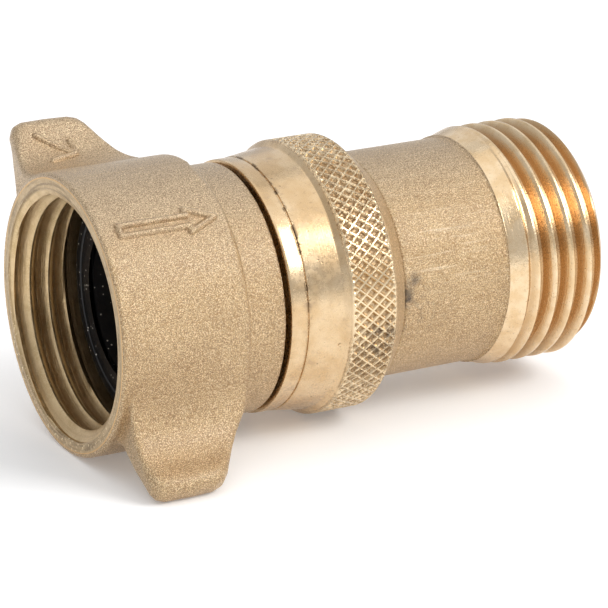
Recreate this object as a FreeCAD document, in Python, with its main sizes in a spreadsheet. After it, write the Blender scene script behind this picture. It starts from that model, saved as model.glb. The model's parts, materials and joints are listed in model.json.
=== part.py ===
"""In-line hose water pressure regulator with a winged swivel inlet nut.

Frame: millimetres, +X along the water's flow, +Z up, origin on the axis at the
centre of the nut's rim face.  The part lies on its side on the plane that the
nut's barrel touches.  Sizes live in the sheet named Sizes; every sketch point
and feature size is an expression on its cells.
"""
import FreeCAD, Part
import math
import os
import re

import Sketcher

Vector = FreeCAD.Vector

SIZES = [
    # winged swivel nut
    ("barrel_wall", 1.65),
    ("barrel_length", 14.82),
    ("rim_chamfer", 0.45),
    ("barrel_chamfer", 0.8),
    ("neck_wall", 3.2),
    ("nut_length", 19.5),
    ("mouth_depth", 0.7),
    ("wing_front", 1.3),
    ("wing_reach", 8.75),
    ("wing_half", 1.5),
    ("wing_slope_run", 4.92),
    ("wing_slope_sag", 1.0),
    ("wing_slope_shift", 0.3),
    ("wing_foot", 0.6),
    ("wing_foot_length", 0.4),
    ("wing_rear_gap", 0.05),
    ("wing_angle", 48.3),
    ("lower_wing_lean", 4.7),
    ("wing_root_fillet", 4.0),
    ("wing_edge_fillet", 1.1),
    ("arrow_angle", -2.0),
    ("arrow_start", 2.2),
    ("arrow_length", 11.1),
    ("arrow_head_length", 3.0),
    ("arrow_head_half", 1.45),
    ("arrow_shaft_half", 0.75),
    ("arrow_line", 0.4),
    ("arrow_point_line", 0.96),
    ("arrow_height", 0.3),
    # 3/4-11.5 hose threads
    ("thread_pitch", 2.2087),
    ("male_crest", 13.4),
    ("male_depth", 1.25),
    ("male_length", 12.19),
    ("female_crest", 12.35),
    ("female_depth", 1.15),
    ("crest_flat", 0.42),
    ("root_flat", 0.3),
    ("cutter_overshoot", 0.2),
    ("female_thread_start", -1.03),
    ("relief_start", 6.9),
    # washer and tailpiece inside the nut
    ("washer_front", 7.4),
    ("washer_thickness", 3.2),
    ("washer_chamfer", 0.8),
    ("washer_step", 0.3),
    ("flange_thickness", 1.7),
    ("axial_play", 0.1),
    ("flange_lip", 1.85),
    ("tail_wall", 2.0),
    ("tail_reach", 5.0),
    # clearances
    ("entry_clearance", 0.05),
    ("flange_clearance", 0.2),
    ("swivel_clearance", 0.08),
    ("joint_clearance", 0.02),
    ("ring_clearance", 0.02),
    ("slide_clearance", 0.07),
    ("seal_clearance", 0.05),
    # knurled housing
    ("nut_gap", 0.5),
    ("chamber_step", 1.88),
    ("strip_wall", 1.6),
    ("strip_width", 1.86),
    ("scribe_width", 0.18),
    ("scribe_depth", 0.12),
    ("band_step", 0.04),
    ("band_flare", 0.52),
    ("band_end", 6.07),
    ("knurl_start", 6.8),
    ("knurl_wall", 2.86),
    ("knurl_end", 11.83),
    ("housing_length", 14.36),
    # seat carrier, seat disc and its screw
    ("carrier_rim", 2.0),
    ("carrier_skirt", 4.2),
    ("window_half", 2.7),
    ("disc_overlap", 0.7),
    ("disc_thickness", 1.6),
    ("screw_shank", 1.25),
    ("screw_head", 2.4),
    ("screw_head_height", 1.1),
    ("screw_slot", 0.6),
    ("screw_edge", 0.3),
    ("screw_length", 3.2),
    # stem guide
    ("spigot_wall", 2.41),
    ("guide_thickness", 3.5),
    ("skirt_wall", 1.25),
    # piston and spring
    ("stem_radius", 5.0),
    ("stem_wall", 1.2),
    ("stem_chamfer", 0.5),
    ("valve_gap", 2.0),
    ("guide_step", 0.37),
    ("head_thickness", 3.9),
    ("head_chamfer", 0.8),
    ("spring_wire", 1.5),
    ("spring_gap", 1.25),
    ("spring_turns", 3.75),
    ("spring_length", 9.4),
    ("seat_plate", 0.7),
    ("shim_plate", 0.5),
    ("plate_margin", 0.4),
    # O-rings: cord thickness and the side play in their grooves
    ("tail_cord", 1.1),
    ("guide_cord", 1.4),
    ("stem_cord", 1.35),
    ("piston_cord", 1.4),
    ("body_cord", 1.3),
    ("groove_play", 0.3),
    ("body_groove_land", 1.2),
    # outlet body
    ("body_step", 0.28),
    ("housing_lip", 0.1),
    ("collar_width", 2.95),
    ("total_length", 59.4),
    ("stop_step", 0.8),
    ("nose_drop", 1.1),
    ("nose_chamfer", 1.0),
]

# Places along the axis and radii that follow from the sizes above.
PLACES = {
    "barrel_radius": "female_root + barrel_wall",
    "wing_tip": "barrel_radius + wing_reach",
    "wing_tip_rear": "barrel_length - wing_slope_run",
    "male_root": "male_crest - male_depth",
    "female_root": "female_crest + female_depth",
    "mouth_radius": "female_root + 2 * entry_clearance",
    "relief_radius": "female_root + entry_clearance",
    "washer_radius": "female_crest - entry_clearance + washer_chamfer",
    "washer_bore": "tail_bore + washer_step",
    "washer_rear": "washer_front + washer_thickness",
    "flange_radius": "female_crest - flange_clearance",
    "flange_rear": "washer_rear + flange_thickness",
    "nut_shoulder": "flange_rear + axial_play",
    "tail_radius": "flange_radius - flange_lip",
    "tail_bore": "tail_radius - tail_wall",
    "neck_bore": "tail_radius + swivel_clearance",
    "neck_radius": "neck_bore + neck_wall",
    "housing_front": "nut_length + nut_gap",
    "tail_end": "housing_front + tail_reach",
    "tail_socket": "tail_radius + joint_clearance",
    "chamber_radius": "tail_socket + chamber_step",
    "strip_radius": "chamber_radius + strip_wall",
    "band_front_radius": "strip_radius + band_step",
    "band_rear_radius": "band_front_radius + band_flare",
    "knurl_radius": "chamber_radius + knurl_wall",
    "body_radius": "chamber_radius + body_step",
    "carrier_rear": "tail_end + carrier_rim",
    "skirt_end": "carrier_rear + carrier_skirt",
    "guide_radius": "guide_seat - joint_clearance",
    "guide_end": "skirt_end + guide_thickness",
    "guide_seat": "spigot_radius - spigot_wall",
    "spigot_radius": "chamber_radius - joint_clearance",
    "carrier_radius": "chamber_radius - 2 * joint_clearance",
    "disc_radius": "stem_radius + disc_overlap",
    "disc_face": "carrier_rear + disc_thickness",
    "stem_bore": "stem_radius - stem_wall",
    "stem_tip": "disc_face + valve_gap",
    "plate_end": "guide_end + seat_plate",
    "plate_radius": "spring_mean + spring_wire / 2 + plate_margin",
    "spring_mean": "stem_radius + spring_gap + spring_wire / 2",
    "piston_bore": "guide_seat - guide_step",
    "outlet_bore": "piston_bore - stop_step",
    "shim_front": "plate_end + spring_length",
    "head_front": "shim_front + shim_plate",
    "head_rear": "head_front + head_thickness",
    "head_radius": "piston_bore - slide_clearance",
    "guide_hole": "stem_radius + seal_clearance",
    "stop_face": "head_rear + axial_play",
    "housing_rear": "housing_front + housing_length",
    "collar_start": "total_length - male_length",
    "outlet_nose": "male_crest - nose_drop",
    "tail_groove": "tail_socket - ring_clearance - tail_cord",
    "guide_groove": "guide_seat - ring_clearance - guide_cord",
    "stem_groove": "guide_hole + stem_cord + ring_clearance",
    "piston_groove": "piston_bore - seal_clearance - piston_cord - ring_clearance",
    "body_groove": "chamber_radius - ring_clearance - body_cord",
    "tail_groove_front": "housing_front + (tail_reach - tail_cord - groove_play) / 2",
    "guide_groove_front": "skirt_end + (guide_thickness - guide_cord - groove_play) / 2",
    "stem_groove_front": "skirt_end + (guide_thickness - stem_cord - groove_play) / 2",
    "piston_groove_front": "head_front + (head_thickness - piston_cord - groove_play) / 2",
    "body_groove_front": "carrier_rear + body_groove_land",
}

doc = FreeCAD.newDocument("pressure_regulator")
sheet = doc.addObject("Spreadsheet::Sheet", "Sizes")
for row, (size_name, size_value) in enumerate(SIZES, start=1):
    sheet.set("A%d" % row, str(size_value))
    sheet.setAlias("A%d" % row, size_name)
doc.recompute()
SIZE_NAMES = {size_name for size_name, size_value in SIZES}
parts = []


def formula(text):
    """An expression in plain size and place names, written out on the sheet's cells."""
    def written(found):
        word = found.group(0)
        if word in PLACES:
            return "(" + formula(PLACES[word]) + ")"
        return "Sizes." + word if word in SIZE_NAMES else word
    return re.sub(r"[a-z_]+", written, str(text))


def bind(thing, **sizes):
    """Bind properties of an object to expressions on the sheet."""
    for prop, text in sizes.items():
        thing.setExpression(prop, formula(text))


def new_body(label):
    """An empty body, kept in the list of parts."""
    body = doc.addObject("PartDesign::Body", label)
    body.Label = label
    parts.append(body)
    return body


def plane(body, role):
    """One of a body's own origin planes."""
    return [f for f in body.Origin.OriginFeatures if f.Role == role][0]


def draw(body, name, role, *loops):
    """A sketch of closed straight-sided loops whose corner coordinates are expressions."""
    sketch = body.newObject("Sketcher::SketchObject", name)
    sketch.AttachmentSupport = (plane(body, role), [""])
    sketch.MapMode = "FlatFace"
    for loop in loops:
        first = sketch.GeometryCount
        count = len(loop)
        ring = [Vector(30 + 9 * math.cos(2 * math.pi * i / count), 9 * math.sin(2 * math.pi * i / count), 0)
                for i in range(count)]
        for i in range(count):
            sketch.addGeometry(Part.LineSegment(ring[i], ring[(i + 1) % count]), False)
        for i in range(count):
            following = first + (i + 1) % count
            sketch.addConstraint(Sketcher.Constraint("Coincident", first + i, 2, following, 1))
        for i, corner in enumerate(loop):
            for kind, text, start in (("DistanceX", corner[0], ring[i].x), ("DistanceY", corner[1], ring[i].y)):
                index = sketch.addConstraint(Sketcher.Constraint(kind, -1, 1, first + i, 1, start))
                sketch.setExpression("Constraints[%d]" % index, formula(text))
    doc.recompute()
    return sketch


def tip(body, feature):
    """Make a feature the body's tip; a feature that failed stops the build."""
    body.Tip = feature
    doc.recompute()
    if "Invalid" in feature.State:
        raise RuntimeError("%s failed: %s" % (feature.Label, feature.getStatusString()))
    return feature


def turn(body, name, *loops):
    """A solid of revolution about the X axis."""
    sketch = draw(body, name + "_profile", "XZ_Plane", *loops)
    feature = body.newObject("PartDesign::Revolution", name)
    feature.Profile = sketch
    feature.ReferenceAxis = (sketch, ["H_Axis"])
    feature.Angle = 360
    return tip(body, feature)


def bore(body, name, *loops):
    """Material turned away about the X axis."""
    sketch = draw(body, name + "_profile", "XZ_Plane", *loops)
    feature = body.newObject("PartDesign::Groove", name)
    feature.Profile = sketch
    feature.ReferenceAxis = (sketch, ["H_Axis"])
    feature.Angle = 360
    return tip(body, feature)


def ring_loop(front, rear, inner, outer):
    """The rectangle that turns into a plain ring."""
    return [(front, inner), (rear, inner), (rear, outer), (front, outer)]


def turned_ring(label, front, rear, inner, outer):
    """A body that is one plain ring."""
    body = new_body(label)
    turn(body, label + "_ring", ring_loop(front, rear, inner, outer))
    return body


def cut_thread(body, name, start, run, crest, root):
    """A right-hand helical V groove from the crest radius to the root radius."""
    half_root = "root_flat / 2"
    half_crest = "(thread_pitch - crest_flat) / 2"
    reach = "(%s + (%s - %s) * cutter_overshoot)" % (crest, crest, root)
    half_reach = "(%s + (%s - %s) * cutter_overshoot)" % (half_crest, half_crest, half_root)
    sketch = draw(body, name + "_profile", "XZ_Plane", [
        ("%s - %s" % (start, half_root), root),
        ("%s + %s" % (start, half_root), root),
        ("%s + %s" % (start, half_reach), reach),
        ("%s - %s" % (start, half_reach), reach),
    ])
    before = body.Shape.Volume
    feature = body.newObject("PartDesign::SubtractiveHelix", name)
    feature.Profile = sketch
    feature.ReferenceAxis = (sketch, ["H_Axis"])
    feature.Mode = 0
    feature.HasBeenEdited = True
    bind(feature, Pitch="thread_pitch", Height=run)
    tip(body, feature)
    if feature.Shape.Volume > before - 1:
        raise RuntimeError(name + " cut nothing")
    return feature


def round_edges(body, name, radius, wanted):
    """A fillet on the body's edges that a test picks."""
    base = body.Tip
    edges = ["Edge%d" % (i + 1) for i, edge in enumerate(base.Shape.Edges) if wanted(edge)]
    if not edges:
        raise RuntimeError(name + " found no edge")
    feature = body.newObject("PartDesign::Fillet", name)
    feature.Base = (base, edges)
    bind(feature, Radius=radius)
    return tip(body, feature)


def size(name):
    """The number in a cell of the sheet."""
    return float(sheet.get(name))


def o_ring(label, groove_front, cord, inner):
    """An O-ring centred in its groove, from the radius of its inside."""
    ring = doc.addObject("Part::Torus", label)
    ring.Label = label
    bind(ring, Radius1="%s + %s / 2" % (inner, cord), Radius2="%s / 2" % cord)
    ring.Placement = FreeCAD.Placement(Vector(0, 0, 0), FreeCAD.Rotation(Vector(0, 1, 0), 90))
    bind(ring, **{"Placement.Base.x": "%s + (%s + groove_play) / 2" % (groove_front, cord)})
    parts.append(ring)
    return ring


def add_wing(body, name, side, lean):
    """One wing, along +Z or -Z before it leans about the axis, with its rear edge sloped off."""
    tip_edge = "%s(wing_tip)" % side
    section = draw(body, name + "_section", "YZ_Plane", [
        ("-wing_half", 0),
        ("wing_half", 0),
        ("wing_half", tip_edge),
        ("-wing_half", tip_edge),
    ])
    section.AttachmentOffset = FreeCAD.Placement(Vector(0, 0, 0), FreeCAD.Rotation(Vector(0, 0, 1), lean))
    bind(section, **{"AttachmentOffset.Base.z": "wing_front"})
    pad = body.newObject("PartDesign::Pad", name)
    pad.Profile = section
    bind(pad, Length="barrel_length - wing_front - wing_rear_gap")
    tip(body, pad)
    slope = [
        ("wing_tip_rear", "wing_tip"),
        ("wing_tip_rear", "wing_tip + 5"),
        ("barrel_length + 3", "wing_tip + 5"),
        ("barrel_length + 3", "barrel_radius + wing_foot"),
        ("barrel_length - wing_foot_length", "barrel_radius + wing_foot"),
        ("(wing_tip_rear + barrel_length) / 2 - wing_slope_shift",
         "(wing_tip + barrel_radius) / 2 - wing_slope_sag"),
    ]
    profile = draw(body, name + "_slope_profile", "XZ_Plane",
                   [(along, "%s(%s)" % (side, out)) for along, out in slope])
    profile.AttachmentOffset = FreeCAD.Placement(Vector(0, 0, 0), FreeCAD.Rotation(Vector(1, 0, 0), lean))
    cut = body.newObject("PartDesign::Pocket", name + "_slope")
    cut.Profile = profile
    cut.Midplane = True
    cut.Type = 1
    tip(body, cut)


def wing_nut():
    """Cast nut: barrel, neck, two wings, raised flow arrow and female hose thread.

    It is modelled with its wings along Z and then turned about X to where it lies.
    """
    body = new_body("wing_nut")
    turn(body, "nut_casting", [
        (0, 0),
        ("nut_length", 0),
        ("nut_length", "neck_radius"),
        ("barrel_length", "neck_radius"),
        ("barrel_length", "barrel_radius - barrel_chamfer"),
        ("barrel_length - barrel_chamfer", "barrel_radius"),
        ("rim_chamfer", "barrel_radius"),
        (0, "barrel_radius - rim_chamfer"),
    ])
    add_wing(body, "lower_wing", "-", -size("lower_wing_lean"))
    add_wing(body, "upper_wing", "", 0)
    barrel = size("female_crest") + size("female_depth") + size("barrel_wall")
    wing = barrel + size("wing_reach")

    def corners(edge):
        """An edge's ends as distances across and along the wing that it lies on."""
        lower = edge.CenterOfMass.z < 0
        straighten = FreeCAD.Rotation(Vector(1, 0, 0), size("lower_wing_lean") if lower else 0)
        ends = [straighten.multVec(vertex.Point) for vertex in edge.Vertexes]
        return [(abs(end.y), abs(end.z)) for end in ends]

    def at_tip(edge):
        return all(along > wing - 0.01 for across, along in corners(edge))

    def at_root(edge):
        on_flank = all(abs(across - size("wing_half")) < 0.01 for across, along in corners(edge))
        at_barrel = all(abs(math.hypot(across, along) - barrel) < 0.3 for across, along in corners(edge))
        return on_flank and at_barrel and edge.Length > 5

    round_edges(body, "wing_tips", "wing_edge_fillet", at_tip)
    round_edges(body, "wing_roots", "wing_root_fillet", at_root)
    arrow(body)
    bore(body, "nut_bore", [
        (-1, 0),
        ("nut_length + 1", 0),
        ("nut_length + 1", "neck_bore"),
        ("nut_shoulder", "neck_bore"),
        ("nut_shoulder", "relief_radius"),
        ("relief_start", "relief_radius"),
        ("relief_start - female_depth", "female_crest"),
        ("mouth_depth", "female_crest"),
        (0, "mouth_radius"),
        (-1, "mouth_radius"),
    ])
    cut_thread(body, "hose_thread", "female_thread_start", "relief_start - female_thread_start",
               "female_crest", "female_root")
    lie = FreeCAD.Rotation(Vector(-1, 0, 0), size("wing_angle"))
    body.Placement = FreeCAD.Placement(Vector(0, 0, 0), lie)
    return body


def arrow(body):
    """Raised outline arrow on the barrel, pointing with the flow."""
    neck = "arrow_start + arrow_length - arrow_head_length"
    point = "arrow_start + arrow_length"
    outer = [
        ("arrow_start", "-arrow_shaft_half"),
        (neck, "-arrow_shaft_half"),
        (neck, "-arrow_head_half"),
        (point, 0),
        (neck, "arrow_head_half"),
        (neck, "arrow_shaft_half"),
        ("arrow_start", "arrow_shaft_half"),
    ]
    inner = [
        ("arrow_start + arrow_line", "-(arrow_shaft_half - arrow_line)"),
        (neck + " + arrow_line", "-(arrow_shaft_half - arrow_line)"),
        (point + " - arrow_point_line", 0),
        (neck + " + arrow_line", "arrow_shaft_half - arrow_line"),
        ("arrow_start + arrow_line", "arrow_shaft_half - arrow_line"),
    ]
    sketch = draw(body, "arrow_outline", "XZ_Plane", outer, inner)
    swing = FreeCAD.Rotation(Vector(1, 0, 0), size("arrow_angle"))
    sketch.AttachmentOffset = FreeCAD.Placement(Vector(0, 0, 0), swing)
    pad = body.newObject("PartDesign::Pad", "flow_arrow")
    pad.Profile = sketch
    bind(pad, Length="barrel_radius + arrow_height")
    tip(body, pad)


def hose_washer():
    """Rubber washer trapped behind the nut's thread; the hose end is drawn against its front face."""
    body = new_body("hose_washer")
    turn(body, "washer_ring", [
        ("washer_front", "washer_bore"),
        ("washer_rear", "washer_bore"),
        ("washer_rear", "washer_radius - washer_chamfer"),
        ("washer_rear - washer_chamfer", "washer_radius"),
        ("washer_front + washer_chamfer", "washer_radius"),
        ("washer_front", "washer_radius - washer_chamfer"),
    ])


def tailpiece():
    """Flanged tube that the nut turns on, screwed into the housing's front wall."""
    body = new_body("tailpiece")
    groove_rear = "tail_groove_front + tail_cord + groove_play"
    turn(body, "tail_tube", [
        ("washer_rear", "tail_bore"),
        ("tail_end", "tail_bore"),
        ("tail_end", "tail_radius"),
        (groove_rear, "tail_radius"),
        (groove_rear, "tail_groove"),
        ("tail_groove_front", "tail_groove"),
        ("tail_groove_front", "tail_radius"),
        ("flange_rear", "tail_radius"),
        ("flange_rear", "flange_radius"),
        ("washer_rear", "flange_radius"),
    ])


def knurled_housing():
    """Machined ring that joins the tailpiece to the outlet body; its rear band is knurled for grip."""
    body = new_body("knurled_housing")

    def along(name):
        return "housing_front + " + name

    turn(body, "housing_ring", [
        ("housing_front", "tail_socket"),
        ("tail_end", "tail_socket"),
        ("tail_end", "chamber_radius"),
        ("housing_rear", "chamber_radius"),
        ("housing_rear", "body_radius + housing_lip"),
        (along("knurl_end"), "knurl_radius"),
        (along("knurl_start"), "knurl_radius"),
        (along("band_end"), "band_rear_radius"),
        (along("strip_width + scribe_width"), "band_front_radius"),
        (along("strip_width + scribe_width"), "strip_radius - scribe_depth"),
        (along("strip_width"), "strip_radius - scribe_depth"),
        (along("strip_width"), "strip_radius"),
        ("housing_front", "strip_radius"),
    ])


def seat_carrier():
    """Spider clamped between the housing and the outlet body; it holds the seat disc in mid-stream."""
    body = new_body("seat_carrier")
    turn(body, "carrier_blank", [
        ("tail_end", "screw_shank"),
        ("carrier_rear", "screw_shank"),
        ("carrier_rear", "guide_radius - skirt_wall"),
        ("skirt_end", "guide_radius - skirt_wall"),
        ("skirt_end", "guide_radius"),
        ("carrier_rear", "guide_radius"),
        ("carrier_rear", "carrier_radius"),
        ("tail_end", "carrier_radius"),
    ])
    inside, outside, half = "disc_radius + flange_clearance", "tail_bore - flange_clearance", "window_half"
    window = [(inside, "-" + half), (outside, "-" + half), (outside, half), (inside, half)]
    opposite = [("-(%s)" % along, "-(%s)" % up) for along, up in window]
    upper = [("-(%s)" % up, along) for along, up in window]
    lower = [("%s" % up, "-(%s)" % along) for along, up in window]
    before = body.Shape.Volume
    sketch = draw(body, "window_outlines", "YZ_Plane", window, opposite, upper, lower)
    windows = body.newObject("PartDesign::Pocket", "windows")
    windows.Profile = sketch
    windows.Type = 1
    windows.Midplane = True
    tip(body, windows)
    if body.Shape.Volume > before - 1:
        raise RuntimeError("the carrier's windows cut nothing")


def seat_screw():
    """Slotted screw that holds the seat disc on the carrier."""
    body = new_body("seat_screw")
    crown = "disc_face + screw_head_height"
    turn(body, "screw_blank", [
        ("disc_face - screw_length", 0),
        (crown, 0),
        (crown, "screw_head - screw_edge"),
        (crown + " - screw_edge", "screw_head"),
        ("disc_face", "screw_head"),
        ("disc_face", "screw_shank - joint_clearance"),
        ("disc_face - screw_length", "screw_shank - joint_clearance"),
    ])
    sketch = draw(body, "slot_outline", "XZ_Plane", [
        (crown + " - screw_slot", "-screw_head - 1"),
        (crown + " + 1", "-screw_head - 1"),
        (crown + " + 1", "screw_head + 1"),
        (crown + " - screw_slot", "screw_head + 1"),
    ])
    slot = body.newObject("PartDesign::Pocket", "slot")
    slot.Profile = sketch
    slot.Midplane = True
    bind(slot, Length="screw_slot")
    tip(body, slot)


def stem_guide():
    """Partition between the water and the spring; the piston's stem slides in its hole."""
    body = new_body("stem_guide")
    outer_rear = "guide_groove_front + guide_cord + groove_play"
    inner_rear = "stem_groove_front + stem_cord + groove_play"
    turn(body, "guide_plate", [
        ("skirt_end", "guide_hole"),
        ("stem_groove_front", "guide_hole"),
        ("stem_groove_front", "stem_groove"),
        (inner_rear, "stem_groove"),
        (inner_rear, "guide_hole"),
        ("guide_end", "guide_hole"),
        ("guide_end", "guide_radius"),
        (outer_rear, "guide_radius"),
        (outer_rear, "guide_groove"),
        ("guide_groove_front", "guide_groove"),
        ("guide_groove_front", "guide_radius"),
        ("skirt_end", "guide_radius"),
    ])


def piston():
    """Hollow stem with a large head; the outlet pressure pushes it upstream onto the seat disc."""
    body = new_body("piston")
    groove_rear = "piston_groove_front + piston_cord + groove_play"
    turn(body, "piston_turning", [
        ("stem_tip", "stem_bore"),
        ("head_rear - head_chamfer", "stem_bore"),
        ("head_rear", "stem_bore + head_chamfer"),
        ("head_rear", "head_radius"),
        (groove_rear, "head_radius"),
        (groove_rear, "piston_groove"),
        ("piston_groove_front", "piston_groove"),
        ("piston_groove_front", "head_radius"),
        ("head_front", "head_radius"),
        ("head_front", "stem_radius"),
        ("stem_tip + stem_chamfer", "stem_radius"),
        ("stem_tip", "stem_radius - stem_chamfer"),
    ])


def spring():
    """Compression spring between the two spring plates, round the stem."""
    body = new_body("spring")
    sketch = body.newObject("Sketcher::SketchObject", "wire_section")
    sketch.AttachmentSupport = (plane(body, "XZ_Plane"), [""])
    sketch.MapMode = "FlatFace"
    sketch.addGeometry(Part.Circle(Vector(36, 7, 0), Vector(0, 0, 1), 0.7), False)
    centre = "plate_end + spring_wire / 2 + joint_clearance"
    for constraint, text in (
        (Sketcher.Constraint("DistanceX", -1, 1, 0, 3, 36.0), centre),
        (Sketcher.Constraint("DistanceY", -1, 1, 0, 3, 7.0), "spring_mean"),
        (Sketcher.Constraint("Radius", 0, 0.7), "spring_wire / 2"),
    ):
        index = sketch.addConstraint(constraint)
        sketch.setExpression("Constraints[%d]" % index, formula(text))
    doc.recompute()
    coil = body.newObject("PartDesign::AdditiveHelix", "coil")
    coil.Profile = sketch
    coil.ReferenceAxis = (sketch, ["H_Axis"])
    coil.Mode = 1
    coil.HasBeenEdited = True
    rise = "(shim_front - plate_end - spring_wire - 2 * joint_clearance)"
    bind(coil, Pitch=rise + " / spring_turns", Turns="spring_turns")
    tip(body, coil)


def outlet_body():
    """Cast body: spigot inside the housing, cylinder bores, and the male hose thread."""
    body = new_body("outlet_body")
    groove_rear = "body_groove_front + body_cord + groove_play"
    turn(body, "body_casting", [
        ("carrier_rear", "guide_seat"),
        ("guide_end", "guide_seat"),
        ("guide_end", "piston_bore"),
        ("stop_face", "piston_bore"),
        ("stop_face", "outlet_bore"),
        ("total_length", "outlet_bore"),
        ("total_length", "outlet_nose"),
        ("total_length - nose_chamfer", "male_crest"),
        ("collar_start", "male_crest"),
        ("collar_start", "body_radius"),
        ("housing_rear", "body_radius"),
        ("housing_rear", "spigot_radius"),
        (groove_rear, "spigot_radius"),
        (groove_rear, "body_groove"),
        ("body_groove_front", "body_groove"),
        ("body_groove_front", "spigot_radius"),
        ("carrier_rear", "spigot_radius"),
    ])
    cut_thread(body, "hose_thread", "collar_start + collar_width + thread_pitch / 2",
               "male_length - collar_width", "male_crest", "male_root")


wing_nut()
hose_washer()
tailpiece()
o_ring("tailpiece_o_ring", "tail_groove_front", "tail_cord", "tail_groove + ring_clearance / 2")
knurled_housing()
seat_carrier()
turned_ring("seat_disc", "carrier_rear", "disc_face", "screw_shank + joint_clearance", "disc_radius")
seat_screw()
stem_guide()
o_ring("guide_o_ring", "guide_groove_front", "guide_cord", "guide_groove + ring_clearance / 2")
o_ring("stem_o_ring", "stem_groove_front", "stem_cord", "guide_hole")
piston()
o_ring("piston_o_ring", "piston_groove_front", "piston_cord", "piston_groove + ring_clearance")
turned_ring("spring_seat", "guide_end", "plate_end", "guide_hole + flange_clearance", "plate_radius")
spring()
turned_ring("spring_shim", "shim_front", "head_front", "stem_radius + slide_clearance", "plate_radius")
outlet_body()
o_ring("housing_o_ring", "body_groove_front", "body_cord", "body_groove + ring_clearance / 2")

doc.recompute()
for thing in doc.Objects:
    if "Invalid" in thing.State or "Error" in thing.State:
        raise RuntimeError("%s failed: %s" % (thing.Label, thing.State))
for part in parts:
    if part.Shape.isNull() or not part.Shape.isValid() or len(part.Shape.Solids) != 1:
        raise RuntimeError(part.Label + " has no single valid solid")

os.makedirs("parts", exist_ok=True)
for part in parts:
    part.Shape.exportStep("parts/%s.step" % part.Label)
    box = part.Shape.BoundBox
    print("%-18s %9.1f mm3  x %6.2f to %6.2f" % (part.Label, part.Shape.Volume, box.XMin, box.XMax))
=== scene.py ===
"""Looks of the hose water pressure regulator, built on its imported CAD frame.

Lengths are millimetres until a mesh is made: "along" runs down the flow axis from the nut's
rim, "out" is the distance from that axis, and "turn" is the angle from +Z towards -Y.
"""
import json
import math
import bpy
import numpy as np
from mathutils import Matrix, Vector


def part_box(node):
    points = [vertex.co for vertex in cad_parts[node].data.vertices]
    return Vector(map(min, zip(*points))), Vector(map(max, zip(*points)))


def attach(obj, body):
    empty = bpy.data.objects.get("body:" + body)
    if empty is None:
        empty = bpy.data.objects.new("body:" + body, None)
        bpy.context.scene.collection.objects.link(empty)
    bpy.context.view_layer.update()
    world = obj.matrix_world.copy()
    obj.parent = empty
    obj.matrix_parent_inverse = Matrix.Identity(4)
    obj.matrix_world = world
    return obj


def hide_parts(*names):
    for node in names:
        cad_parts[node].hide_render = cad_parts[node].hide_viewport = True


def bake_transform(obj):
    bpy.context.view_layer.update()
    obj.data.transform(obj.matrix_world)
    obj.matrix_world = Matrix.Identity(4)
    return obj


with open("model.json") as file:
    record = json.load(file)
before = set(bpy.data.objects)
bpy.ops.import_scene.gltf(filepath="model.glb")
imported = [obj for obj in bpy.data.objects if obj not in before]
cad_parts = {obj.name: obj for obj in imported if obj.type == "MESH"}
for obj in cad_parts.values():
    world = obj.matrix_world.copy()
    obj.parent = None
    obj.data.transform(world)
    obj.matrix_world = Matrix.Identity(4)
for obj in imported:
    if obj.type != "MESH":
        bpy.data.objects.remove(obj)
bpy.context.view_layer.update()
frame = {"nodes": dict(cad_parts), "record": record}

MM = 0.001


def reach(node):
    """Front and rear of a CAD node along the axis, in millimetres."""
    low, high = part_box(node)
    return low.x / MM, high.x / MM


NUT_REAR = reach("wing_nut")[1]
HOUSING_FRONT, HOUSING_REAR = reach("knurled_housing")
BODY_FRONT, BODY_REAR = reach("outlet_body")
WASHER_FRONT, WASHER_REAR = reach("hose_washer")
BARREL_OUT = -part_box("wing_nut")[0].z / MM
KNURL_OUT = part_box("knurled_housing")[1].z / MM
CREST_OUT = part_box("outlet_body")[1].z / MM

# both threads
PITCH = 25.4 / 11.5
CREST_FLAT = 0.34
ROOT_FLAT = 0.3
FEMALE_CREST = 12.35

# the nut
WING_TURN = -48.3
LOWER_WING_LEAN = -4.7
# each for the upper and the lower wing
WING_HALF = 1.15, 1.3
WING_FILLET = 4.4, 2.2
WING_SHORTER = 0.46, 0.43
WING_SKEW = 0.7, 0.0
NECK_OUT = 13.58
BARREL_LENGTH = 14.82
RELIEF_FRONT = 6.9
RELIEF_OUT = 13.55

# the ring and the outlet body
SEAM = HOUSING_FRONT + 1.95
KNURL_FRONT = HOUSING_FRONT + 6.8
KNURL_REAR = HOUSING_FRONT + 11.83
KNURL_COUNT = 75
KNURL_PITCH = 1.5
COLLAR_FRONT = 47.21

# marks of use, as places
BAND_SMUDGE = (21.1, -11.2, -8.4)
BAND_DENTS = (23.81, -13.98, -2.47), (25.65, -13.93, -3.25)
KNURL_SOOT = (30.6, -14.4, -3.0)
BODY_STAINS = (34.0, -12.5, 0.3), (35.6, -12.4, 1.9)
BODY_CLOUD = (35.5, -12.4, -1.5)
BODY_SCRATCHES = (40.0, -11.8, 4.2)
THREAD_NICK = (58.0, -10.2, 8.7)


# ---------------------------------------------------------------- meshes

def smooth_step(value, low, high):
    """0 below low, 1 above high, and smooth between."""
    t = np.clip((value - low) / (high - low), 0, 1)
    return t * t * (3 - 2 * t)


def add_piece(name, corners, triangles, body, slot, finish, crease=32):
    """A smooth-shaded mesh, from millimetres, that rides on a body if one is named."""
    mesh = bpy.data.meshes.new(name)
    mesh.from_pydata((corners * MM).tolist(), [], triangles.tolist())
    mesh.update()
    mesh.shade_smooth()
    mesh.set_sharp_from_angle(angle=math.radians(crease))
    mesh.materials.append(finish)
    piece = bpy.data.objects.new(name, mesh)
    bpy.context.scene.collection.objects.link(piece)
    if body:
        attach(piece, body)
    return piece


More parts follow.
